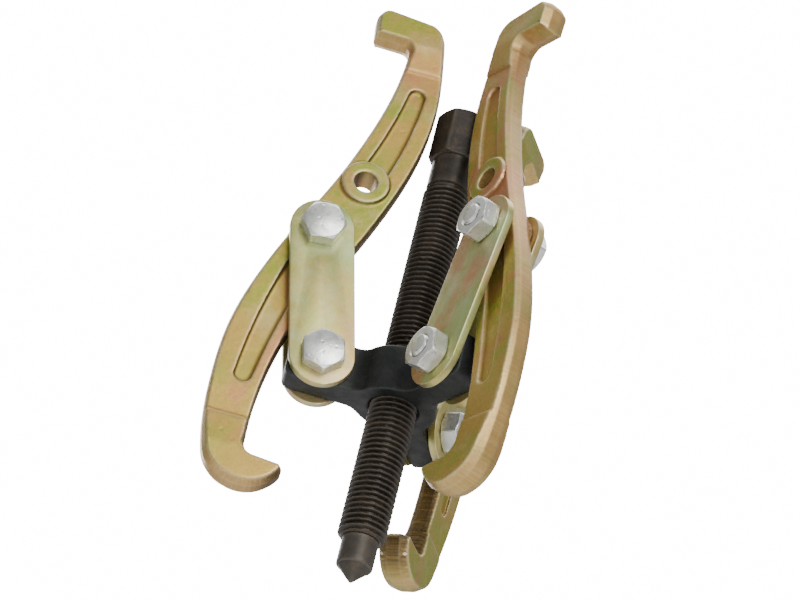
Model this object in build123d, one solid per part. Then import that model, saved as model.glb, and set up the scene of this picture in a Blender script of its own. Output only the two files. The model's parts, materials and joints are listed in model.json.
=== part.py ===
from build123d import *
import os
from math import sqrt

# Three-jaw reversible gear puller, millimetres.
# The origin is on the screw's axis, at the height of the hub's three hinge bolts.
# +Z runs along the screw towards its hexagon head. Each arm stands in a plane through the axis.

# Arms: the direction of each arm, and how far its straps and its jaw lean outwards at the top.
ARM_DIRECTION = {"a": 180.0, "b": 300.0, "c": 60.0}
STRAP_LEAN = {"a": 13.0, "b": 13.0, "c": 24.0}
JAW_LEAN = {"a": -22.4, "b": -22.2, "c": -12.0}

# Forcing screw, M20 x 2.5, with a turned point that the screw turns around.
SCREW_DIAMETER = 20.0
PITCH = 2.5
THREAD_DEPTH = 1.45
THREAD_CREST = 0.5
THREAD_ROOT = 0.5
THREAD_BOTTOM = -72.0
THREAD_TOP = 101.0
THREAD_CHAMFER = 1.6
NECK_DIAMETER = 19.0
HEAD_BOTTOM = 116.0
HEAD_TOP = 140.0
HEAD_FLATS = 21.0
DOG_DIAMETER = 15.0
DOG_BOTTOM = -84.0
DOG_ROUND = 0.8
POINT_APEX = -91.0
APEX_FLAT_RADIUS = 0.4
STEM_RADIUS = 4.0
STEM_LENGTH = 12.0
STEM_CLEARANCE = 0.05
POINT_GAP = 0.1

# Hub: a threaded boss with three flat lugs.
BOSS_RADIUS = 17.5
BOSS_TOP = 11.5
HUB_BOTTOM = -10.5
LUG_TOP = 10.0
LUG_WIDTH = 13.5
LUG_REACH = 47.8
HUB_BLEND = 8.0
HUB_EDGE = 1.2
LUG_CORNER = 3.5
SCREW_CLEARANCE = 0.06
BORE_CHAMFER = 1.2
HINGE_RADIUS = 34.5

# Hinge bolts, M10 x 30, and their nuts.
BOLT_DIAMETER = 10.0
BOLT_LENGTH = 30.0
BOLT_TIP = 1.0
BOLT_FLATS = 17.0
BOLT_HEAD = 6.4
NUT_HEIGHT = 8.0
HOLE_CLEARANCE = 0.08
HUB_BOLT_TURN = 30.0
HUB_NUT_TURN = 12.0
JAW_BOLT_TURN = -6.0
JAW_NUT_TURN = 20.0
HEX_CHAMFER = 0.96
CHAMFER_SLOPE = 0.55

# Straps: two flat plates on each arm.
STRAP_WIDTH = 27.5
STRAP_PITCH = 61.4
STRAP_THICKNESS = 3.5
STRAP_EDGE = 0.5
SIDE_GAP = 0.25

# Jaws: forged S shape, drawn about the hinge hole, +y towards the spare hole, +x away from the screw.
JAW_THICKNESS = 13.5
WEB_THICKNESS = 10.0
PAD_THICKNESS = 11.4
PAD_TAPER = 14.0
PAD_REACH = 90.0
SPARE_HOLE = 33.6
RING_RADIUS = 10.5
RECESS_DEPTH = 1.8
UPPER_STEP = ((5.1, 101.6), (21.6, 94.5))
LOWER_STEP = ((-29.8, -90.9), (-11.9, -98.6))

HALF_LUG = LUG_WIDTH / 2
STRAP_INNER = HALF_LUG + SIDE_GAP
STRAP_OUTER = STRAP_INNER + STRAP_THICKNESS
HOLE_RADIUS = BOLT_DIAMETER / 2 + HOLE_CLEARANCE


def save(solid, name):
    """Write one node to its STEP file."""
    solid.label = name
    export_step(solid, f"parts/{name}.step")


def rod(radius, low, high):
    """A round bar on the Z axis from low to high."""
    return Pos(0, 0, (low + high) / 2) * Cylinder(radius, high - low)


def cross_pin(radius, low, high):
    """A round bar on the Y axis from low to high."""
    return Rot(-90, 0, 0) * rod(radius, low, high)


def turned(points):
    """A solid turned about the Z axis from (radius, height) points."""
    return revolve(make_face(Plane.XZ * Polyline(*points, close=True)), Axis.Z)


def hexagon(flats, low, high, chamfer_low=True):
    """A hexagonal bar on the Z axis; its upper corners are turned off, and its lower ones on request."""
    corner = flats / sqrt(3)
    face = flats / 2 * HEX_CHAMFER
    drop = (corner - face) * CHAMFER_SLOPE
    points = [(0, low), (corner, low)]
    if chamfer_low:
        points = [(0, low), (face, low), (corner, low + drop)]
    blank = turned(points + [(corner, high - drop), (face, high), (0, high)])
    bar = Pos(0, 0, low) * extrude(RegularPolygon(flats / 2, 6, major_radius=False), high - low)
    return bar & blank


def forcing_screw():
    """Hexagon head, plain neck and thread, with a blind hole for the point's stem."""
    crest = SCREW_DIAMETER / 2
    root = crest - THREAD_DEPTH
    flank = (PITCH - THREAD_CREST - THREAD_ROOT) / 2
    points = [(0, THREAD_BOTTOM), (crest - THREAD_CHAMFER, THREAD_BOTTOM), (crest, THREAD_BOTTOM + THREAD_CHAMFER)]
    turns = int((THREAD_TOP - THREAD_BOTTOM - THREAD_CHAMFER) / PITCH)
    for turn in range(turns):
        start = THREAD_BOTTOM + THREAD_CHAMFER + turn * PITCH
        points.append((crest, start + THREAD_CREST))
        points.append((root, start + THREAD_CREST + flank))
        points.append((root, start + THREAD_CREST + flank + THREAD_ROOT))
        points.append((crest, start + PITCH))
    neck = NECK_DIAMETER / 2
    points += [(crest, THREAD_TOP - crest + neck), (neck, THREAD_TOP), (neck, HEAD_BOTTOM), (0, HEAD_BOTTOM)]
    screw = turned(points) + hexagon(HEAD_FLATS, HEAD_BOTTOM, HEAD_TOP)
    hole_top = THREAD_BOTTOM + STEM_LENGTH + POINT_GAP
    return screw - rod(STEM_RADIUS + STEM_CLEARANCE, THREAD_BOTTOM, hole_top)


def centre_point():
    """Stem, dog and cone in one turned piece."""
    dog = DOG_DIAMETER / 2
    shoulder = THREAD_BOTTOM - POINT_GAP
    return turned([
        (0, POINT_APEX), (APEX_FLAT_RADIUS, POINT_APEX), (dog - DOG_ROUND, DOG_BOTTOM - DOG_ROUND / 2),
        (dog, DOG_BOTTOM + DOG_ROUND), (dog, shoulder), (STEM_RADIUS, shoulder),
        (STEM_RADIUS, shoulder + STEM_LENGTH), (0, shoulder + STEM_LENGTH),
    ])


def hub():
    """Boss and three lugs, blended, with the screw's hole and three hinge holes."""
    plan = Circle(BOSS_RADIUS)
    for direction in ARM_DIRECTION.values():
        plan += Rot(0, 0, direction) * Pos(LUG_REACH / 2, 0) * Rectangle(LUG_REACH, LUG_WIDTH)
    star = extrude(plan, LUG_TOP - HUB_BOTTOM)
    inner = [edge for edge in star.edges().filter_by(Axis.Z)
             if sqrt(edge.center().X ** 2 + edge.center().Y ** 2) < BOSS_RADIUS + 1]
    star = Pos(0, 0, HUB_BOTTOM) * fillet(inner, HUB_BLEND)
    for direction in ARM_DIRECTION.values():
        star -= Rot(0, 0, direction) * lug_corner_cutter()
    boss = rod(BOSS_RADIUS, HUB_BOTTOM, BOSS_TOP)
    body = star + chamfer(boss.edges().group_by(Axis.Z)[-1], HUB_EDGE)
    bore = SCREW_DIAMETER / 2 + SCREW_CLEARANCE
    wide = bore + BORE_CHAMFER
    body -= turned([
        (0, HUB_BOTTOM), (wide, HUB_BOTTOM), (bore, HUB_BOTTOM + BORE_CHAMFER),
        (bore, BOSS_TOP - BORE_CHAMFER), (wide, BOSS_TOP), (0, BOSS_TOP),
    ])
    for direction in ARM_DIRECTION.values():
        body -= Rot(0, 0, direction) * Pos(HINGE_RADIUS, 0, 0) * cross_pin(HOLE_RADIUS, -LUG_WIDTH, LUG_WIDTH)
    return body


def lug_corner_cutter():
    """What rounds the outer end of a lug, seen from the side, on the +X arm."""
    low, high, end = HUB_BOTTOM, LUG_TOP, LUG_REACH
    back = end - LUG_CORNER
    top = make_face(Plane.XZ * (
        Line((back, high), (end, high)) + Line((end, high), (end, high - LUG_CORNER))
        + RadiusArc((end, high - LUG_CORNER), (back, high), -LUG_CORNER)))
    bottom = make_face(Plane.XZ * (
        Line((back, low), (end, low)) + Line((end, low), (end, low + LUG_CORNER))
        + RadiusArc((end, low + LUG_CORNER), (back, low), LUG_CORNER)))
    return extrude(top, LUG_WIDTH, both=True) + extrude(bottom, LUG_WIDTH, both=True)


def strap(side):
    """A plate with round ends and two holes; side is +1 under the bolt heads, -1 under the nuts."""
    outline = Pos(0, STRAP_PITCH / 2) * Rot(0, 0, 90) * SlotCenterToCenter(STRAP_PITCH, STRAP_WIDTH)
    body = plate(outline, STRAP_THICKNESS)
    body = chamfer(body.faces().filter_by(Axis.Y).edges(), STRAP_EDGE)
    for height in (0, STRAP_PITCH):
        body -= Pos(0, 0, height) * cross_pin(HOLE_RADIUS, -STRAP_THICKNESS, STRAP_THICKNESS)
    return Pos(0, side * (STRAP_INNER + STRAP_OUTER) / 2, 0) * body


def hinge_bolt():
    """Bolt on the Y axis with its head outside the +Y strap."""
    radius = BOLT_DIAMETER / 2
    end = STRAP_OUTER - BOLT_LENGTH
    shank = turned([
        (0, end), (radius - BOLT_TIP, end), (radius, end + BOLT_TIP), (radius, STRAP_OUTER), (0, STRAP_OUTER),
    ])
    head = hexagon(BOLT_FLATS, STRAP_OUTER, STRAP_OUTER + BOLT_HEAD, chamfer_low=False)
    return Rot(-90, 0, 0) * (shank + head)


def hinge_nut():
    """Nut on the Y axis outside the -Y strap."""
    nut = hexagon(BOLT_FLATS, -STRAP_OUTER - NUT_HEIGHT, -STRAP_OUTER)
    nut -= rod(HOLE_RADIUS, -STRAP_OUTER - NUT_HEIGHT, -STRAP_OUTER)
    return Rot(-90, 0, 0) * nut


def jaw_outline():
    """The jaw seen from the side: outward hook at the top, inward hook at the bottom."""
    edges = [
        Line((28.9, 106.7), (42.0, 101.5)),
        Line((42.0, 101.5), (46.8, 110.3)),
        ThreePointArc((46.8, 110.3), (46.4, 115.4), (42.4, 118.1)),
        Line((42.4, 118.1), (25.0, 123.5)),
        ThreePointArc((25.0, 123.5), (18.9, 122.4), (15.0, 118.6)),
        Spline((15.0, 118.6), (5.3, 102.2), (-2.8, 85.8), (-10.4, 61.2), (-15.3, 19.8), (-15.9, -4.4),
               (-15.9, -30.0), (-21.5, -67.3), (-32.9, -98.3)),
        ThreePointArc((-32.9, -98.3), (-35.0, -101.5), (-38.5, -102.4)),
        Line((-38.5, -102.4), (-50.3, -98.7)),
        ThreePointArc((-50.3, -98.7), (-52.3, -99.8), (-52.9, -102.6)),
        ThreePointArc((-52.9, -102.6), (-47.6, -113.2), (-37.0, -118.0)),
        ThreePointArc((-37.0, -118.0), (-28.2, -117.2), (-20.5, -111.5)),
        Spline((-20.5, -111.5), (-12.4, -99.5), (-3.0, -80.7), (4.3, -61.0), (9.2, -35.0), (11.1, 0.0),
               (11.4, 26.7), (13.1, 50.1), (16.3, 73.0), (24.2, 102.0)),
        ThreePointArc((24.2, 102.0), (25.7, 105.3), (28.9, 106.7)),
    ]
    return make_face(Wire(edges))


def plate(face, thickness):
    """A plate of the thickness, centred on the arm's plane."""
    return extrude(Plane.XZ * face, thickness / 2, both=True)


def pad(step, outline, sign):
    """The thicker end of the jaw beyond a step line: it grows from the step to full thickness along its taper."""
    (x0, y0), (x1, y1) = step
    length = sqrt((x1 - x0) ** 2 + (y1 - y0) ** 2)
    along = ((x1 - x0) / length, (y1 - y0) / length)
    out = (-along[1] * sign, along[0] * sign)
    thin = PAD_THICKNESS / 2
    full = JAW_THICKNESS / 2
    section = make_face(Polyline(
        (0, -thin), (PAD_TAPER, -full), (PAD_REACH, -full), (PAD_REACH, full), (PAD_TAPER, full), (0, thin),
        close=True))
    place = Plane(origin=(x0, 0, y0), x_dir=(out[0], 0, out[1]), z_dir=(along[0], 0, along[1]))
    return plate(outline, JAW_THICKNESS) & extrude(place * section, PAD_REACH, both=True)


def upper_recess():
    """The groove above the spare hole: it narrows upwards, and its open end lies under the ring."""
    return make_face(Wire([
        ThreePointArc((5.5, 41.0), (8.3, 66.0), (12.2, 84.9)),
        ThreePointArc((12.2, 84.9), (9.7, 89.6), (5.0, 87.1)),
        ThreePointArc((5.0, 87.1), (-0.6, 68.0), (-5.3, 41.0)),
        Line((-5.3, 41.0), (5.5, 41.0)),
    ]))


def lower_recess():
    """The groove below the hinge hole: it narrows downwards, and its open end lies under the ring."""
    return make_face(Wire([
        ThreePointArc((4.4, -7.0), (-0.9, -41.0), (-10.8, -76.2)),
        ThreePointArc((-10.8, -76.2), (-15.4, -79.0), (-18.2, -74.4)),
        ThreePointArc((-18.2, -74.4), (-10.3, -39.0), (-6.4, -7.0)),
        Line((-6.4, -7.0), (4.4, -7.0)),
    ]))


def groove(face):
    """What a recess takes out of both faces of the web."""
    near = Pos(0, -WEB_THICKNESS / 2, 0) * extrude(Plane.XZ * face, RECESS_DEPTH, both=True)
    far = Pos(0, WEB_THICKNESS / 2, 0) * extrude(Plane.XZ * face, RECESS_DEPTH, both=True)
    return near + far


def jaw():
    """The forged jaw about its hinge hole."""
    outline = jaw_outline()
    body = plate(outline, WEB_THICKNESS)
    body -= groove(upper_recess())
    body -= groove(lower_recess())
    body += pad(UPPER_STEP, outline, 1)
    body += pad(LOWER_STEP, outline, -1)
    for height in (0, SPARE_HOLE):
        body += Pos(0, 0, height) * cross_pin(RING_RADIUS, -JAW_THICKNESS / 2, JAW_THICKNESS / 2)
    for height in (0, SPARE_HOLE):
        body -= Pos(0, 0, height) * cross_pin(HOLE_RADIUS, -JAW_THICKNESS, JAW_THICKNESS)
    return body


def main():
    os.makedirs("parts", exist_ok=True)
    save(forcing_screw(), "forcing_screw")
    save(centre_point(), "centre_point")
    save(hub(), "hub")
    bolt = hinge_bolt()
    nut = hinge_nut()
    jaw_solid = jaw()
    for arm, direction in ARM_DIRECTION.items():
        lean = STRAP_LEAN[arm]
        at_hub = Rot(0, 0, direction) * Pos(HINGE_RADIUS, 0, 0) * Rot(0, lean, 0)
        at_jaw = at_hub * Pos(0, 0, STRAP_PITCH)
        save(at_hub * strap(1), f"strap_{arm}_head_side")
        save(at_hub * strap(-1), f"strap_{arm}_nut_side")
        save(at_hub * Rot(0, HUB_BOLT_TURN, 0) * bolt, f"hub_bolt_{arm}")
        save(at_hub * Rot(0, HUB_NUT_TURN, 0) * nut, f"hub_nut_{arm}")
        save(at_jaw * Rot(0, JAW_BOLT_TURN, 0) * bolt, f"jaw_bolt_{arm}")
        save(at_jaw * Rot(0, JAW_NUT_TURN, 0) * nut, f"jaw_nut_{arm}")
        save(at_jaw * Rot(0, JAW_LEAN[arm] - lean, 0) * jaw_solid, f"jaw_{arm}")


if __name__ == "__main__":
    main()
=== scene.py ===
import json
from math import ceil, cos, pi, radians, sin, sqrt, tau

import bmesh
import bpy
import numpy as np
from mathutils import Matrix, Vector


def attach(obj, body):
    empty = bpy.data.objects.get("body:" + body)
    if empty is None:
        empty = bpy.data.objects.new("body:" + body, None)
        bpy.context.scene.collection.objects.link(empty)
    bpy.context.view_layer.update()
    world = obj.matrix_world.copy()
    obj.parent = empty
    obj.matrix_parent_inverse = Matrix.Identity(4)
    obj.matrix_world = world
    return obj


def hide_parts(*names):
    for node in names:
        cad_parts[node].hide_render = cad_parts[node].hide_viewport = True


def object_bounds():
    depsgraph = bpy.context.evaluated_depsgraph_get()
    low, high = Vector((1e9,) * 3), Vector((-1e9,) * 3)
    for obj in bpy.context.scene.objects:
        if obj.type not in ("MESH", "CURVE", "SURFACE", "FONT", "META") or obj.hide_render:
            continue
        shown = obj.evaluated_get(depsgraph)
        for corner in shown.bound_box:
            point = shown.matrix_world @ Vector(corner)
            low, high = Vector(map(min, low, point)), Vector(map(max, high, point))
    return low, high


# Three-jaw gear puller. Metres, in the CAD frame: origin on the screw's axis at the hub's hinge bolts.

MM = 0.001
ARM_HEADING = {"a": 180.0, "b": 300.0, "c": 60.0}

# Sizes that the CAD model and this script share.
SCREW_RADIUS = 10.0 * MM
PITCH = 2.5 * MM
THREAD_DEPTH = 1.5 * MM
THREAD_BOTTOM = -72.0 * MM
THREAD_TOP = 101.0 * MM
NECK_RADIUS = 9.5 * MM
HEAD_BOTTOM = 116.0 * MM
HEAD_TOP = 140.0 * MM
HEAD_FLATS = 21.0 * MM
STEM_RADIUS = 4.0 * MM
STEM_LENGTH = 12.0 * MM
DOG_RADIUS = 7.5 * MM
DOG_BOTTOM = -84.0 * MM
POINT_APEX = -91.0 * MM
STRAP_INNER = 7.0 * MM
STRAP_OUTER = 10.5 * MM
STRAP_WIDTH = 27.5 * MM
STRAP_PITCH = 61.4 * MM
HOLE_RADIUS = 5.08 * MM
BOLT_RADIUS = 5.0 * MM
BOLT_LENGTH = 30.0 * MM
BOLT_FLATS = 17.0 * MM
BOLT_HEAD = 6.4 * MM
BOLT_PITCH = 1.5 * MM
BOLT_THREAD_DEPTH = 0.75 * MM
NUT_HEIGHT = 8.0 * MM
HUB_BOLT_TURN = 30.0
HUB_NUT_TURN = 12.0
JAW_BOLT_TURN = -6.0
JAW_NUT_TURN = 20.0
WEB_THICKNESS = 10.0 * MM
RING_RADIUS = 10.5 * MM

# Details that only the visual model has. Angles are in degrees.
RUN_OUT = 0.75
THREAD_CHAMFER = 1.8 * MM
HEX_SHARPNESS = 46.0
HEX_CHAMFER_CIRCLE = 0.955
HEX_CHAMFER_SLOPE = 0.55
HEX_CHAMFER_STEPS = 7
BROKEN_EDGE = 0.18 * MM
STRAP_EDGE = 0.45 * MM
PLATE_CREASE = 32.0
FORGED_CREASE = 60.0
HUB_VOXEL = 0.55 * MM
HUB_SMOOTHING = 8
JAW_VOXEL = 0.5 * MM
JAW_SMOOTHING = 9
TRIM_BAND = 5.0 * MM
DRAFT = 0.36
DRAFT_REACH = 4.5 * MM
CORNER_BLEND = 0.35 * MM
DEEP_BLEND = 1.0 * MM
SHORTEST_SEGMENT = 0.03 * MM

# Colours of the finishes. A chromate has its gold, green, pink and pale clouds.
JAW_CHROMATE = ((0.38, 0.25, 0.05), (0.25, 0.265, 0.03), (0.42, 0.185, 0.075), (0.42, 0.33, 0.13))
STRAP_CHROMATE = ((0.38, 0.31, 0.06), (0.27, 0.35, 0.09), (0.43, 0.235, 0.085), (0.34, 0.43, 0.21))
# Colours of the bright edges: partly metal rubbed through, partly painted highlight.
JAW_EDGE_WEAR_AND_HIGHLIGHT = (0.66, 0.62, 0.47)
STRAP_EDGE_WEAR_AND_HIGHLIGHT = (0.68, 0.66, 0.5)
# Painted shade for the concave corners.
CORNER_SHADE = (0.1, 0.055, 0.015)
WHITE = (1.0, 1.0, 1.0, 1.0)

# The stage.
FLOOR_SIZE = 30.0
FLOOR_DROP = 0.75
AMBIENT = 0.5
BACKDROP = 16.0
MIDDLE = (0, 0, 0.03)
LENS = 119.09
SENSOR = 36.0
CAMERA_PLACE = (-0.062033, -0.948276, -0.547329)
CAMERA_TURN = (122.6356, -12.0984, -10.8785)

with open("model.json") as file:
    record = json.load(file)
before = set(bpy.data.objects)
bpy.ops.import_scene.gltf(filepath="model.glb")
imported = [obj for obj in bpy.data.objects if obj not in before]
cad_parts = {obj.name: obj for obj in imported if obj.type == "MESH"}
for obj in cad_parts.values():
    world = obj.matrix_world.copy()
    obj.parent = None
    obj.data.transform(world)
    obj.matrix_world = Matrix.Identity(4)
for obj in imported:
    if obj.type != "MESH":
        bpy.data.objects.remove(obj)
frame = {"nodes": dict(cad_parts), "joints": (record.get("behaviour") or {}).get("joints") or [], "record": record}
cad_box = [list(corner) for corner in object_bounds()]
joints = {joint["name"]: joint for joint in frame["joints"]}


def arm_frame(arm):
    """Matrices of an arm: its hub hinge and its jaw hinge, with Y along the bolts and Z up the strap."""
    hinge = joints[f"link_{arm}_swing"]
    pivot = joints[f"jaw_{arm}_swing"]
    side = Vector(hinge["axis"]).normalized()
    low = Vector(hinge["pos_m"])
    high = Vector(pivot["pos_m"])
    up = (high - low).normalized()
    out = side.cross(up)
    turn = Matrix((out, side, up)).transposed().to_4x4()
    return Matrix.Translation(low) @ turn, Matrix.Translation(high) @ turn


# ---------------------------------------------------------------- materials

class Nodes:
    """A short way to write a material's nodes."""

    def __init__(self, name):
        self.material = bpy.data.materials.new(name)
        self.material.use_nodes = True
        self.tree = self.material.node_tree
        self.shader = self.tree.nodes["Principled BSDF"]
        self.place = self.add("ShaderNodeTexCoord").outputs["Object"]

    def add(self, kind, **settings):
        node = self.tree.nodes.new(kind)
        for key, value in settings.items():
            setattr(node, key, value)
        return node

    def link(self, source, target):
        self.tree.links.new(source, target)

    def scaled(self, scale=(1.0, 1.0, 1.0)):
        """The object's coordinates, scaled along each axis."""
        mapping = self.add("ShaderNodeMapping")
        mapping.inputs["Scale"].default_value = scale
        self.link(self.place, mapping.inputs["Vector"])
        return mapping.outputs["Vector"]

    def streaks(self, scale, heading, length):
        """Noise drawn out along the bolts of the arm that stands at the heading."""
        mapping = self.add("ShaderNodeMapping", vector_type="TEXTURE")
        mapping.inputs["Rotation"].default_value = (0.0, 0.0, radians(heading))
        mapping.inputs["Scale"].default_value = (1.0, length, 1.0)
        self.link(self.place, mapping.inputs["Vector"])
        node = self.add("ShaderNodeTexNoise")
        node.inputs["Scale"].default_value = scale
        node.inputs["Detail"].default_value = 3.0
        self.link(mapping.outputs["Vector"], node.inputs["Vector"])
        return node.outputs["Fac"]

    def facing(self, axis):
        """How far the surface faces along an axis of the object, from -1 to 1."""
        node = self.add("ShaderNodeVectorMath", operation="DOT_PRODUCT")
        self.link(self.place.node.outputs["Normal"], node.inputs[0])
        node.inputs[1].default_value = axis
        return node.outputs["Value"]

    def noise(self, scale, detail=4.0, rough=0.55, stretch=(1.0, 1.0, 1.0), distortion=0.0):
        node = self.add("ShaderNodeTexNoise")
        node.inputs["Scale"].default_value = scale
        node.inputs["Detail"].default_value = detail
        node.inputs["Roughness"].default_value = rough
        node.inputs["Distortion"].default_value = distortion
        self.link(self.scaled(stretch), node.inputs["Vector"])
        return node.outputs["Fac"]

    def spots(self, scale):
        """Distance to the nearest of many scattered points."""
        node = self.add("ShaderNodeTexVoronoi")
        node.inputs["Scale"].default_value = scale
        self.link(self.scaled(), node.inputs["Vector"])
        return node.outputs["Distance"]

    def ramp(self, value, stops):
        """A colour ramp; a stop is (position, (r, g, b)) or (position, grey)."""
        node = self.add("ShaderNodeValToRGB")
        elements = node.color_ramp.elements
        while len(elements) < len(stops):
            elements.new(0.5)
        for element, (position, colour) in zip(elements, stops):
            element.position = position
            if isinstance(colour, (int, float)):
                colour = (colour, colour, colour)
            element.color = (*colour, 1.0)
        self.link(value, node.inputs["Fac"])
        return node.outputs["Color"]

    def mix(self, factor, first, second, blend="MIX"):
        """Two colours mixed. The node's colour sockets are 6 and 7 going in and 2 coming out."""
        node = self.add("ShaderNodeMix", data_type="RGBA", blend_type=blend)
        for value, socket in ((factor, node.inputs[0]), (first, node.inputs[6]), (second, node.inputs[7])):
            if isinstance(value, bpy.types.NodeSocket):
                self.link(value, socket)
            elif isinstance(value, (int, float)):
                socket.default_value = value
            else:
                socket.default_value = (*value, 1.0)
        return node.outputs[2]

    def maths(self, operation, first, second=0.0):
        node = self.add("ShaderNodeMath", operation=operation)
        for value, socket in ((first, node.inputs[0]), (second, node.inputs[1])):
            if isinstance(value, bpy.types.NodeSocket):
                self.link(value, socket)
            else:
                socket.default_value = value
        return node.outputs[0]

    def edges(self):
        """1 on convex edges, 0 elsewhere, from the mesh's own curvature."""
        pointy = self.add("ShaderNodeNewGeometry").outputs["Pointiness"]
        return self.ramp(pointy, ((0.5, 0.0), (0.58, 1.0)))

    def hollows(self):
        """1 in concave corners, 0 elsewhere."""
        pointy = self.add("ShaderNodeNewGeometry").outputs["Pointiness"]
        return self.ramp(pointy, ((0.455, 1.0), (0.495, 0.0)))

    def bump(self, height, distance, strength=1.0, under=None):
        node = self.add("ShaderNodeBump")
        node.inputs["Distance"].default_value = distance
        node.inputs["Strength"].default_value = strength
        self.link(height, node.inputs["Height"])
        if under is not None:
            self.link(under, node.inputs["Normal"])
        return node.outputs["Normal"]

    def finish(self, colour, roughness, normal, metallic):
        self.link(colour, self.shader.inputs["Base Color"])
        self.link(roughness, self.shader.inputs["Roughness"])
        self.link(normal, self.shader.inputs["Normal"])
        self.shader.inputs["Metallic"].default_value = metallic
        return self.material


def chromate(n, gold, green, pink, pale):
    """Yellow chromate over zinc: gold with drifting green, pink and pale clouds."""
    clouds = n.noise(24.0, 5.0, 0.6, distortion=0.8)
    veils = n.noise(19.0, 4.0, 0.6, (1.0, 1.6, 0.7), 1.2)
    patches = n.noise(44.0, 6.0, 0.62)
    colour = n.mix(n.ramp(clouds, ((0.44, 0.0), (0.58, 1.0))), gold, green)
    colour = n.mix(n.ramp(veils, ((0.5, 0.0), (0.62, 1.0))), colour, pink)
    colour = n.mix(n.ramp(patches, ((0.54, 0.0), (0.72, 0.7))), colour, pale)
    grain = n.noise(900.0, 3.0, 0.6)
    return n.mix(0.3, colour, n.ramp(grain, ((0.3, 0.45), (0.7, 1.0))), "MULTIPLY")


def corner_shade_and_edge_wear_highlight(n, colour, bright_edge_colour, share=1.0):
    """Painted shade in the concave corners, and bright edges on a share of the edges, partly wear and partly
    painted highlight; both patchy.
    """
    # Painted shade: the concave corners are darkened.
    colour = n.mix(n.maths("MULTIPLY", n.hollows(), 0.9), colour, CORNER_SHADE)
    # Bright edges, patchy: partly wear, partly painted highlight.
    edge_wear_and_highlight = n.maths("MULTIPLY", n.edges(), n.ramp(n.noise(120.0), ((0.35, 0.3), (0.65, 0.95))))
    edge_wear_and_highlight = n.maths("MULTIPLY", edge_wear_and_highlight, share)
    return n.mix(edge_wear_and_highlight, colour, bright_edge_colour)


def jaw_paint(arm, heading):
    """A forging's finish: gold faces, flanks marked by trimming, and painted shade darkening the flanks that face
    the screw.
    """
    n = Nodes(f"yellow_zinc_jaw_{arm}")
    colour = chromate(n, *JAW_CHROMATE)
    turn = radians(heading)
    to_face = n.maths("ABSOLUTE", n.facing((-sin(turn), cos(turn), 0.0)))
    flank = n.ramp(to_face, ((0.35, 1.0), (0.75, 0.0)))
    marks = n.streaks(1100.0, heading, 30.0)
    trimmed = n.ramp(marks, ((0.3, (0.31, 0.18, 0.075)),
                             (0.55, (0.4, 0.24, 0.11)),
                             (0.8, (0.5, 0.33, 0.16))))
    colour = n.mix(n.maths("MULTIPLY", flank, 0.55), colour, trimmed)
    # Painted shade: the flanks that face the screw are darkened, where shade falls between jaw and screw.
    inward = n.ramp(n.facing((-cos(turn), -sin(turn), 0.0)), ((0.2, 0.0), (0.7, 1.0)))
    inward = n.maths("MULTIPLY", flank, inward)
    inner_shade = n.ramp(marks, ((0.35, (0.035, 0.02, 0.008)),
                          (0.6, (0.12, 0.07, 0.022)),
                          (0.75, (0.33, 0.2, 0.06))))
    colour = n.mix(n.maths("MULTIPLY", inward, 0.85), colour, inner_shade)
    rounded = n.ramp(to_face, ((0.08, 0.15), (0.4, 1.0)))
    # Painted shade in the concave corners, and bright edges that are partly wear and partly painted highlight,
    # fewer on the flanks.
    colour = corner_shade_and_edge_wear_highlight(n, colour, JAW_EDGE_WEAR_AND_HIGHLIGHT, rounded)
    roughness = n.ramp(n.noise(60.0, 4.0), ((0.3, 0.34), (0.75, 0.5)))
    fine = n.bump(n.noise(1500.0, 2.0), 0.00004, 0.5)
    coarse = n.bump(n.noise(190.0, 5.0, 0.65), 0.0004, 0.4, fine)
    dents = n.bump(n.ramp(n.spots(140.0), ((0.0, 0.0), (0.16, 1.0))), 0.0002, 0.35, coarse)
    cuts = n.bump(n.mix(flank, (0.5, 0.5, 0.5), marks), 0.00012, 0.5, dents)
    return n.finish(colour, roughness, cuts, 0.72)


def strap_paint():
    """A rolled plate's finish: smooth, greener and paler than the jaws."""
    n = Nodes("yellow_zinc_strap")
    colour = chromate(n, *STRAP_CHROMATE)
    # Painted shade in the concave corners, and bright edges that are partly wear and partly painted highlight.
    colour = corner_shade_and_edge_wear_highlight(n, colour, STRAP_EDGE_WEAR_AND_HIGHLIGHT)
    roughness = n.ramp(n.noise(60.0, 4.0), ((0.3, 0.3), (0.75, 0.44)))
    fine = n.bump(n.noise(1500.0, 2.0), 0.00003, 0.5)
    coarse = n.bump(n.noise(190.0, 5.0, 0.65), 0.00012, 0.45, fine)
    return n.finish(colour, roughness, coarse, 0.72)


def white_zinc():
    """The bolts' and nuts' finish: pale grey zinc with brown stains, painted shade in the concave corners, and
    light edges that are partly wear and partly painted highlight.
    """
    n = Nodes("white_zinc")
    clouds = n.noise(90.0, 5.0, 0.6)
    colour = n.ramp(clouds, ((0.3, (0.4, 0.41, 0.38)),
                             (0.52, (0.58, 0.59, 0.56)),
                             (0.75, (0.74, 0.75, 0.72))))
    stain = n.ramp(n.noise(260.0, 6.0, 0.75), ((0.6, 0.0), (0.68, 0.85)))
    colour = n.mix(stain, colour, (0.16, 0.13, 0.09))
    # Painted shade: the concave corners are darkened.
    colour = n.mix(n.maths("MULTIPLY", n.hollows(), 0.8), colour, (0.16, 0.15, 0.13))
    # Light edges: partly wear, partly painted highlight.
    colour = n.mix(n.maths("MULTIPLY", n.edges(), 0.5), colour, (0.85, 0.85, 0.83))
    roughness = n.ramp(n.noise(260.0, 4.0), ((0.3, 0.26), (0.7, 0.42)))
    fine = n.bump(n.noise(700.0, 4.0, 0.65), 0.00012, 0.6)
    dents = n.bump(n.ramp(n.spots(330.0), ((0.0, 0.0), (0.3, 1.0))), 0.00022, 0.5, fine)
    return n.finish(colour, roughness, dents, 0.85)


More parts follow.
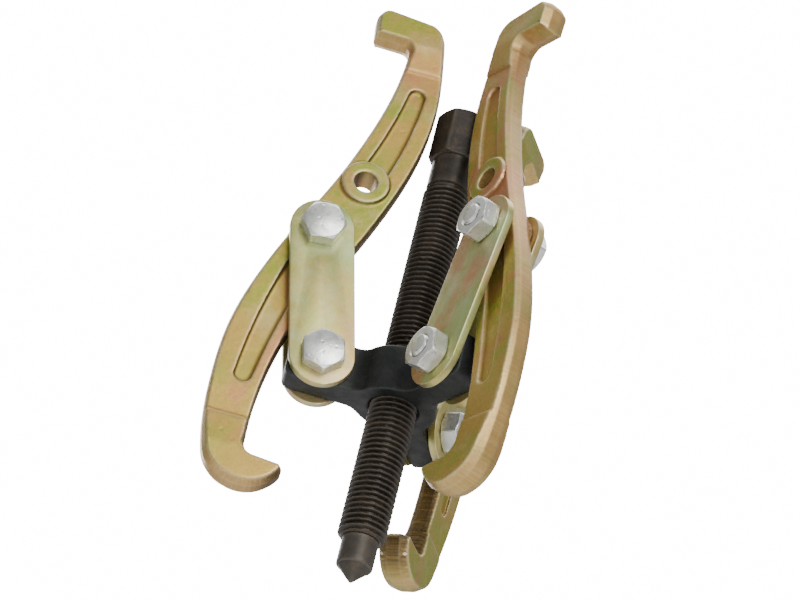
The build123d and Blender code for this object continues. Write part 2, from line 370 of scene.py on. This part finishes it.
def black_steel(name, dark, light, rust, grain_scale, bump_depth, rough):
    """Black phosphated or painted steel with paler, brownish places, and lighter edges that are partly wear and
    partly painted highlight.
    """
    n = Nodes(name)
    clouds = n.noise(70.0, 5.0, 0.6)
    colour = n.ramp(clouds, ((0.3, dark), (0.7, light)))
    colour = n.mix(n.ramp(n.noise(150.0, 6.0, 0.7), ((0.5, 0.0), (0.68, 0.7))), colour, rust)
    # Lighter edges: partly wear, partly painted highlight.
    colour = n.mix(n.maths("MULTIPLY", n.edges(), 0.7), colour, tuple(2.6 * c for c in light))
    roughness = n.ramp(n.noise(200.0, 4.0), ((0.3, rough), (0.7, rough + 0.16)))
    fine = n.bump(n.noise(grain_scale, 4.0, 0.7), bump_depth, 0.6)
    coarse = n.bump(n.noise(grain_scale * 0.16, 3.0), bump_depth * 3.0, 0.35, fine)
    n.shader.inputs["Specular IOR Level"].default_value = 0.3
    return n.finish(colour, roughness, coarse, 0.4)


def floor_paint():
    """A plain, almost white, matt floor."""
    n = Nodes("pale_floor")
    colour = n.ramp(n.noise(3.0, 2.0), ((0.3, (0.9, 0.9, 0.9)), (0.7, (0.94, 0.94, 0.94))))
    roughness = n.ramp(n.noise(8.0), ((0.3, 0.7), (0.7, 0.8)))
    return n.finish(colour, roughness, n.bump(n.noise(40.0), 0.0002, 0.2), 0.0)


JAW_PAINT = {arm: jaw_paint(arm, heading) for arm, heading in ARM_HEADING.items()}
STRAP_PAINT = strap_paint()
ZINC = white_zinc()
HUB_PAINT = black_steel("black_hub", (0.006, 0.007, 0.0065), (0.017, 0.019, 0.018), (0.022, 0.023, 0.021),
                        1300.0, 0.00008, 0.44)
SCREW_PAINT = black_steel("black_screw", (0.013, 0.0105, 0.008), (0.034, 0.028, 0.021), (0.055, 0.038, 0.025),
                          1800.0, 0.00005, 0.34)
POINT_PAINT = black_steel("point_steel", (0.025, 0.022, 0.018), (0.055, 0.048, 0.039), (0.07, 0.048, 0.03),
                          1500.0, 0.00006, 0.4)


# ---------------------------------------------------------------- mesh helpers

def new_piece(name, verts, faces, material, body, node=None):
    """A mesh piece in metres that rides on a CAD body, and stands for a CAD node if one is named."""
    mesh = bpy.data.meshes.new(name)
    mesh.from_pydata([tuple(v) for v in verts], [], faces)
    return as_piece(mesh, name, material, body, node)


def as_piece(mesh, name, material, body, node=None, crease=PLATE_CREASE):
    """Makes a closed mesh into a piece on a CAD body, with sharp edges from the crease angle on."""
    bm = bmesh.new()
    bm.from_mesh(mesh)
    bmesh.ops.remove_doubles(bm, verts=bm.verts, dist=1e-7)
    bmesh.ops.recalc_face_normals(bm, faces=bm.faces)
    limit = radians(crease)
    for face in bm.faces:
        face.smooth = True
    for edge in bm.edges:
        edge.smooth = len(edge.link_faces) != 2 or edge.calc_face_angle(0.0) < limit
    bm.to_mesh(mesh)
    bm.free()
    mesh.materials.clear()
    mesh.materials.append(material)
    piece = bpy.data.objects.new(name, mesh)
    bpy.context.scene.collection.objects.link(piece)
    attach(piece, body)
    if node:
        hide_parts(node)
    return piece


def turned(rows, columns, ring=False):
    """Vertices and faces of rows of points round Z.

    A row is (height, radii), and a ring is closed through its bore instead of by end caps."""
    angles = np.asarray(columns)
    count = len(angles)
    verts = []
    faces = []
    for height, radii in rows:
        radii = np.broadcast_to(radii, count)
        for angle, radius in zip(angles, radii):
            verts.append((radius * cos(angle), radius * sin(angle), height))
    last = len(rows) if ring else len(rows) - 1
    for row in range(last):
        low = row * count
        high = (row + 1) % len(rows) * count
        for i in range(count):
            j = (i + 1) % count
            faces.append((low + i, low + j, high + j, high + i))
    if not ring:
        for height, base in ((rows[0][0], 0), (rows[-1][0], (len(rows) - 1) * count)):
            verts.append((0.0, 0.0, height))
            centre = len(verts) - 1
            for i in range(count):
                faces.append((base + i, base + (i + 1) % count, centre))
    return np.array(verts), faces


def hexagon_columns():
    """Angles for a hexagon with a corner at zero: close together at the corners."""
    offsets = (0.0, 0.9, 2.0, 3.6, 6.0, 10.0, 16.0, 23.0, 30.0, 37.0, 44.0, 50.0, 54.0, 56.4, 58.0, 59.1)
    return [radians(60.0 * side + offset) for side in range(6) for offset in offsets]


def hexagon_radii(columns, flats):
    """Radius of a hexagon with slightly rounded corners at each angle."""
    total = np.zeros(len(columns))
    for side in range(6):
        normal = radians(30.0 + 60.0 * side)
        total += np.maximum(np.cos(np.asarray(columns) - normal), 0.0) ** HEX_SHARPNESS
    return flats / 2 / total ** (1.0 / HEX_SHARPNESS)


def hexagon_rows(columns, flats, low, high, low_chamfer=True):
    """Rows of a hexagonal bar with turned-off corners, at both ends or at the high one only."""
    shape = hexagon_radii(columns, flats)
    face = flats / 2 * HEX_CHAMFER_CIRCLE
    corner = flats / sqrt(3)
    drop = (corner - face) * HEX_CHAMFER_SLOPE
    steps = HEX_CHAMFER_STEPS
    rows = []
    if low_chamfer:
        for step in range(steps + 1):
            rows.append((low + drop * step / steps, np.minimum(shape, face + (corner - face) * step / steps)))
    else:
        rows += [(low, shape - BROKEN_EDGE), (low + BROKEN_EDGE, shape)]
    for step in range(steps, -1, -1):
        rows.append((high - drop * step / steps, np.minimum(shape, face + (corner - face) * step / steps)))
    return rows


def even_columns(count):
    """Evenly spaced angles of a full turn."""
    return [tau * i / count for i in range(count)]


def thread_rows(columns, crest, depth, pitch, low, high, chamfer, samples=12):
    """Rows of a right-hand screw thread between two heights, run out under a chamfer at the low end."""
    angles = np.asarray(columns)
    count = int(ceil((high - low) / pitch * samples))
    rows = []
    for i in range(count + 1):
        height = low + (high - low) * i / count
        phase = (height / pitch - angles / tau) % 1.0
        ridge = np.abs(phase - 0.5) * 2.0
        profile = np.clip((ridge - 0.12) / 0.72, 0.0, 1.0)
        profile = profile * profile * (3.0 - 2.0 * profile) * 0.35 + profile * 0.65
        radii = crest - depth * profile
        limit = crest - max(0.0, chamfer - (height - low)) * 0.9
        fade = min(1.0, (high - height) / pitch)
        radii = radii * fade + (crest - depth * RUN_OUT) * (1.0 - fade)
        rows.append((height, np.minimum(radii, limit)))
    return rows


def placed(verts, matrix):
    """Points moved by a matrix."""
    m = np.array(matrix)
    return verts @ m[:3, :3].T + m[:3, 3]


# ---------------------------------------------------------------- screw, point and hub

def make_screw():
    """The shaft, with a socket for the point's stem, a thread and a plain neck, and the hexagon head."""
    columns = even_columns(96)
    socket = STEM_RADIUS + 0.05 * MM
    rows = [(THREAD_BOTTOM + STEM_LENGTH, socket), (THREAD_BOTTOM, socket)]
    rows += thread_rows(columns, SCREW_RADIUS, THREAD_DEPTH, PITCH, THREAD_BOTTOM, THREAD_TOP, THREAD_CHAMFER)
    rows.append((THREAD_TOP + 0.2 * MM, SCREW_RADIUS - THREAD_DEPTH * RUN_OUT))
    rows.append((THREAD_TOP + 0.6 * MM, NECK_RADIUS))
    for step in range(7):
        rows.append((THREAD_TOP + (2.0 + 2.0 * step) * MM, NECK_RADIUS))
    rows.append((HEAD_BOTTOM + 1.0 * MM, NECK_RADIUS))
    verts, faces = turned(rows, columns)
    new_piece("screw_shaft", verts, faces, SCREW_PAINT, "screw", "forcing_screw")
    columns = hexagon_columns()
    verts, faces = turned(hexagon_rows(columns, HEAD_FLATS, HEAD_BOTTOM, HEAD_TOP), columns)
    new_piece("screw_head", verts, faces, SCREW_PAINT, "screw")


def make_point():
    """The cone with its blunt tip, the rounded corner, the dog and the stem that sits in the shaft."""
    columns = even_columns(72)
    shoulder = THREAD_BOTTOM - 0.1 * MM
    tip = 0.55 * MM
    corner = 0.9 * MM
    cone_radius = DOG_RADIUS - corner
    cone_height = DOG_BOTTOM - 0.45 * MM
    rows = [(POINT_APEX, 0.3 * MM), (POINT_APEX + 0.1 * MM, tip)]
    for step in range(1, 6):
        part = step / 6
        rows.append((POINT_APEX + (cone_height - POINT_APEX) * part, tip + (cone_radius - tip) * part))
    for step in range(7):
        angle = pi / 2 * step / 6
        rows.append((cone_height + 1.0 * MM * (1 - cos(angle)), cone_radius + corner * sin(angle)))
    for step in range(1, 8):
        rows.append((DOG_BOTTOM + 0.8 * MM + (shoulder - DOG_BOTTOM - 1.0 * MM) * step / 7, DOG_RADIUS))
    rows += [(shoulder, DOG_RADIUS - 0.2 * MM), (shoulder, STEM_RADIUS)]
    rows.append((shoulder + STEM_LENGTH, STEM_RADIUS))
    verts, faces = turned(rows, columns)
    new_piece("turned_point", verts, faces, POINT_PAINT, "point", "centre_point")


def node_mesh(node, place):
    """A CAD node's mesh as a bmesh, seen from a place."""
    source = frame["nodes"][node]
    bm = bmesh.new()
    bm.from_mesh(source.data)
    bm.transform(place.inverted() @ source.matrix_world)
    bmesh.ops.remove_doubles(bm, verts=bm.verts, dist=1e-6)
    return bm


def fine_copy(node, voxel, rounds, place):
    """A finely remeshed, slightly rounded copy of a CAD node's mesh, in the coordinates of a place."""
    bm = node_mesh(node, place)
    mesh = bpy.data.meshes.new(node)
    bm.to_mesh(mesh)
    bm.free()
    temp = bpy.data.objects.new("temp", mesh)
    bpy.context.scene.collection.objects.link(temp)
    remesh = temp.modifiers.new("remesh", "REMESH")
    remesh.mode = "VOXEL"
    remesh.voxel_size = voxel
    smooth = temp.modifiers.new("smooth", "SMOOTH")
    smooth.factor = 0.5
    smooth.iterations = rounds
    graph = bpy.context.evaluated_depsgraph_get()
    made = bpy.data.meshes.new_from_object(temp.evaluated_get(graph), depsgraph=graph)
    bpy.data.objects.remove(temp)
    return made


def coordinates(mesh):
    """A mesh's vertices as an array."""
    points = np.empty(len(mesh.vertices) * 3)
    mesh.vertices.foreach_get("co", points)
    return points.reshape(-1, 3)


def set_coordinates(mesh, points):
    """Moves a mesh's vertices to the points of an array."""
    mesh.vertices.foreach_set("co", points.ravel())
    mesh.update()


def make_hub():
    """The forged boss with its three lugs."""
    mesh = fine_copy("hub", HUB_VOXEL, HUB_SMOOTHING, Matrix.Identity(4))
    as_piece(mesh, "forged_hub", HUB_PAINT, "hub", "hub", FORGED_CREASE)


# ---------------------------------------------------------------- arms

def make_strap(arm, side, matrix):
    """A plate with round ends, two holes and rounded edges."""
    curve = bpy.data.curves.new("strap", "CURVE")
    curve.dimensions = "2D"
    curve.fill_mode = "BOTH"
    curve.extrude = (STRAP_OUTER - STRAP_INNER) / 2 - STRAP_EDGE
    curve.bevel_depth = STRAP_EDGE
    curve.bevel_resolution = 3
    curve.offset = -STRAP_EDGE
    radius = STRAP_WIDTH / 2
    turns = 48
    outline = []
    for centre, first in ((STRAP_PITCH, 0.0), (0.0, pi)):
        for i in range(turns + 1):
            angle = first + pi * i / turns
            outline.append((radius * cos(angle), centre + radius * sin(angle)))
    loops = [outline]
    for height in (0.0, STRAP_PITCH):
        loops.append([(HOLE_RADIUS * cos(a), height - HOLE_RADIUS * sin(a)) for a in even_columns(48)])
    for loop in loops:
        spline = curve.splines.new("POLY")
        spline.points.add(len(loop) - 1)
        for point, (x, y) in zip(spline.points, loop):
            point.co = (x, y, 0.0, 1.0)
        spline.use_cyclic_u = True
    temp = bpy.data.objects.new("temp", curve)
    bpy.context.scene.collection.objects.link(temp)
    graph = bpy.context.evaluated_depsgraph_get()
    mesh = bpy.data.meshes.new_from_object(temp.evaluated_get(graph), depsgraph=graph)
    bpy.data.objects.remove(temp)
    stand_up = Matrix.Rotation(pi / 2, 4, "X")
    across = Matrix.Translation((0, side * (STRAP_INNER + STRAP_OUTER) / 2, 0))
    mesh.transform(matrix @ across @ stand_up)
    name = "head" if side > 0 else "nut"
    as_piece(mesh, f"plate_{arm}_{name}_side", STRAP_PAINT, f"link_{arm}",
             f"strap_{arm}_{name}_side")


def along_y(turn):
    """Turns a piece made round Z to lie along +Y, with its angle zero at +X, and then turns it about Y."""
    return Matrix.Rotation(radians(turn), 4, "Y") @ Matrix.Rotation(-pi / 2, 4, "X")


def make_bolt(arm, place, matrix, turn):
    """A hexagon bolt, its thread showing beyond the nut."""
    columns = hexagon_columns()
    end = STRAP_OUTER - BOLT_LENGTH
    rows = [(end, BOLT_RADIUS - 1.25 * MM), (end + 0.1 * MM, BOLT_RADIUS - 1.05 * MM)]
    rows += thread_rows(columns, BOLT_RADIUS, BOLT_THREAD_DEPTH, BOLT_PITCH, end + 0.1 * MM,
                        end + 12.0 * MM, 1.0 * MM, 9)
    rows += [(end + 12.2 * MM, BOLT_RADIUS), (STRAP_OUTER, BOLT_RADIUS)]
    rows += hexagon_rows(columns, BOLT_FLATS, STRAP_OUTER, STRAP_OUTER + BOLT_HEAD, False)
    verts, faces = turned(rows, columns)
    verts = placed(verts, matrix @ along_y(turn))
    new_piece(f"bolt_{arm}_{place}", verts, faces, ZINC, f"link_{arm}", f"{place}_bolt_{arm}")


def make_nut(arm, place, matrix, turn):
    """A hexagon nut with a countersunk bore."""
    columns = hexagon_columns()
    low = -STRAP_OUTER - NUT_HEIGHT
    high = -STRAP_OUTER
    rows = hexagon_rows(columns, BOLT_FLATS, low, high)
    wide = BOLT_RADIUS + 0.6 * MM
    bore = BOLT_RADIUS + 0.06 * MM
    rows += [(high, wide), (high - 0.6 * MM, bore), (low + 0.6 * MM, bore), (low, wide)]
    verts, faces = turned(rows, columns, ring=True)
    verts = placed(verts, matrix @ along_y(turn))
    new_piece(f"nut_{arm}_{place}", verts, faces, ZINC, f"link_{arm}", f"{place}_nut_{arm}")


def cut_loops(node, place):
    """Segments where a node meets the XZ plane of a place, as two arrays of (x, z) ends."""
    bm = node_mesh(node, place)
    everything = list(bm.verts) + list(bm.edges) + list(bm.faces)
    bmesh.ops.bisect_plane(bm, geom=everything, plane_co=(0, 0, 0), plane_no=(0, 1, 0), dist=1e-7,
                           clear_inner=True, clear_outer=True)
    ends = [[(v.co.x, v.co.z) for v in edge.verts] for edge in bm.edges if abs(edge.verts[0].co.y) < 1e-6]
    bm.free()
    ends = np.array(ends)
    return ends[:, 0], ends[:, 1]


def inside(points, start, end):
    """Which points lie inside the closed loops of segments, by the vote of rays in three directions."""
    votes = np.zeros(len(points), int)
    for angle in (0.0, 1.1, 2.3):
        turn = np.array(((cos(angle), -sin(angle)), (sin(angle), cos(angle))))
        p, a, b = points @ turn, start @ turn, end @ turn
        rise = b[:, 1] - a[:, 1]
        crossing = (a[:, 1] > p[:, None, 1]) != (b[:, 1] > p[:, None, 1])
        safe = np.where(np.abs(rise) < 1e-12, 1.0, rise)
        at = a[:, 0] + (b[:, 0] - a[:, 0]) * (p[:, None, 1] - a[:, 1]) / safe
        votes += (crossing & (p[:, None, 0] < at)).sum(axis=1) % 2
    return votes >= 2


def off_outline(points, start, end, out):
    """Distance of each point to the nearest segment, and which way to move it in order to inset the outline.

    The way blends across corners, is longer on a corner itself and shorter deep inside, where ways meet."""
    along = end - start
    length = np.maximum((along ** 2).sum(axis=1), 1e-18)
    distance = np.empty(len(points))
    way = np.empty((len(points), 2))
    for low in range(0, len(points), 4000):
        part_of_all = slice(low, low + 4000)
        block = points[part_of_all, None, :] - start
        part = np.clip((block * along).sum(axis=2) / length, 0.0, 1.0)
        away = np.sqrt(((block - part[..., None] * along) ** 2).sum(axis=2))
        least = away.min(axis=1)
        weight = np.exp((least[:, None] - away) / CORNER_BLEND)
        mean = weight @ out
        mean /= np.maximum(np.linalg.norm(mean, axis=1), 1e-9)[:, None]
        lean = (mean * out[away.argmin(axis=1)]).sum(axis=1)
        distance[part_of_all] = least
        deep = np.clip(least / DEEP_BLEND, 0.0, 1.0)
        share = (1.0 - deep) / np.maximum(lean, 0.6) + deep * np.maximum(lean, 0.0)
        way[part_of_all] = mean * share[:, None]
    return distance, way


def hole_centres(arm, matrix):
    """The jaw's hinge hole and its spare hole as (x, z) in the place of its hinge."""
    spare = next(m for m in frame["record"]["mounts"] if m["name"] == f"jaw_{arm}_spare_hole")
    spare = matrix.inverted() @ Vector(spare["pos_m"])
    return np.array(((0.0, 0.0), (spare.x, spare.z)))


def to_hole(points, holes):
    """Distance of each point to the centre of the nearest hole."""
    return np.linalg.norm(points[:, None] - holes, axis=2).min(axis=1)


def jaw_outline(arm, matrix, holes):
    """The jaw's outline without its holes: the ends of its segments, and the way out at each."""
    start, end = cut_loops(f"jaw_{arm}", matrix)
    middles = (start + end) / 2
    rim = to_hole(middles, holes) > HOLE_RADIUS * 1.2
    start, end, middles = start[rim], end[rim], middles[rim]
    along = end - start
    out = np.stack((along[:, 1], -along[:, 0]), axis=1)
    out /= np.maximum(np.linalg.norm(out, axis=1), 1e-12)[:, None]
    out[inside(middles + out * 0.05 * MM, start, end)] *= -1
    long = np.linalg.norm(along, axis=1) > SHORTEST_SEGMENT
    return start[long], end[long], out[long]


def make_jaw(arm, matrix):
    """The forging: rounded edges, a flat band where flash was trimmed, and flanks that draw in beside it."""
    node = f"jaw_{arm}"
    mesh = fine_copy(node, JAW_VOXEL, JAW_SMOOTHING, matrix)
    holes = hole_centres(arm, matrix)
    points = coordinates(mesh)
    flat = points[:, (0, 2)]
    distance, way = off_outline(flat, *jaw_outline(arm, matrix, holes))
    height = np.abs(points[:, 1])
    reach = np.clip(1.0 - distance / DRAFT_REACH, 0.0, 1.0)
    inset = DRAFT * np.maximum(height - TRIM_BAND / 2, 0.0) * reach
    on_ring = to_hole(flat, holes) < RING_RADIUS + 1.0 * MM
    inset[on_ring & (height > WEB_THICKNESS / 2 + 0.3 * MM)] = 0.0
    points[:, (0, 2)] -= way * inset[:, None]
    set_coordinates(mesh, points)
    mesh.transform(matrix)
    as_piece(mesh, f"forged_{node}", JAW_PAINT[arm], node, node, FORGED_CREASE)


# ---------------------------------------------------------------- stage

def make_stage():
    """The floor, well below the puller, which floats as in a cut-out picture."""
    low = Vector(cad_box[0])
    bpy.ops.mesh.primitive_plane_add(size=FLOOR_SIZE, location=(0, 0, low.z - FLOOR_DROP))
    floor = bpy.context.object
    floor.name = "floor"
    floor.data.materials.append(floor_paint())


def make_light(name, place, target, size, power):
    """A white panel that faces a target."""
    data = bpy.data.lights.new(name, "AREA")
    data.shape = "RECTANGLE"
    data.size, data.size_y = size
    data.energy = power
    light = bpy.data.objects.new(name, data)
    light.location = place
    light.rotation_euler = (Vector(target) - Vector(place)).to_track_quat("-Z", "Y").to_euler()
    bpy.context.scene.collection.objects.link(light)


def make_lights():
    """A soft light from all round, a backdrop that looks white, and four large panels."""
    world = bpy.data.worlds.new("studio")
    bpy.context.scene.world = world
    world.use_nodes = True
    tree = world.node_tree
    ambient = tree.nodes["Background"]
    ambient.inputs["Color"].default_value = WHITE
    ambient.inputs["Strength"].default_value = AMBIENT
    backdrop = tree.nodes.new("ShaderNodeBackground")
    backdrop.inputs["Color"].default_value = WHITE
    backdrop.inputs["Strength"].default_value = BACKDROP
    path = tree.nodes.new("ShaderNodeLightPath")
    mix = tree.nodes.new("ShaderNodeMixShader")
    tree.links.new(path.outputs["Is Camera Ray"], mix.inputs["Fac"])
    tree.links.new(ambient.outputs["Background"], mix.inputs[1])
    tree.links.new(backdrop.outputs["Background"], mix.inputs[2])
    tree.links.new(mix.outputs["Shader"], tree.nodes["World Output"].inputs["Surface"])
    make_light("key", (0.45, -1.4, 0.4), MIDDLE, (1.1, 0.9), 25.0)
    make_light("fill", (0.1, -1.1, -0.8), MIDDLE, (0.9, 0.9), 8.0)
    make_light("back", (-0.5, 1.6, 0.7), MIDDLE, (1.4, 1.2), 30.0)
    make_light("top", (0.0, 0.4, 1.9), (0, 0, -0.8), (2.4, 2.4), 60.0)


def make_camera():
    """The camera, below the puller and looking up."""
    data = bpy.data.cameras.new("camera")
    data.lens = LENS
    data.sensor_width = SENSOR
    data.clip_start = 0.01
    camera = bpy.data.objects.new("camera", data)
    camera.location = CAMERA_PLACE
    camera.rotation_euler = [radians(turn) for turn in CAMERA_TURN]
    bpy.context.scene.collection.objects.link(camera)
    bpy.context.scene.camera = camera


make_screw()
make_point()
make_hub()
for arm in ARM_HEADING:
    at_hub, at_jaw = arm_frame(arm)
    make_strap(arm, 1, at_hub)
    make_strap(arm, -1, at_hub)
    make_bolt(arm, "hub", at_hub, HUB_BOLT_TURN)
    make_nut(arm, "hub", at_hub, HUB_NUT_TURN)
    make_bolt(arm, "jaw", at_jaw, JAW_BOLT_TURN)
    make_nut(arm, "jaw", at_jaw, JAW_NUT_TURN)
    make_jaw(arm, at_jaw)
make_stage()
make_lights()
make_camera()
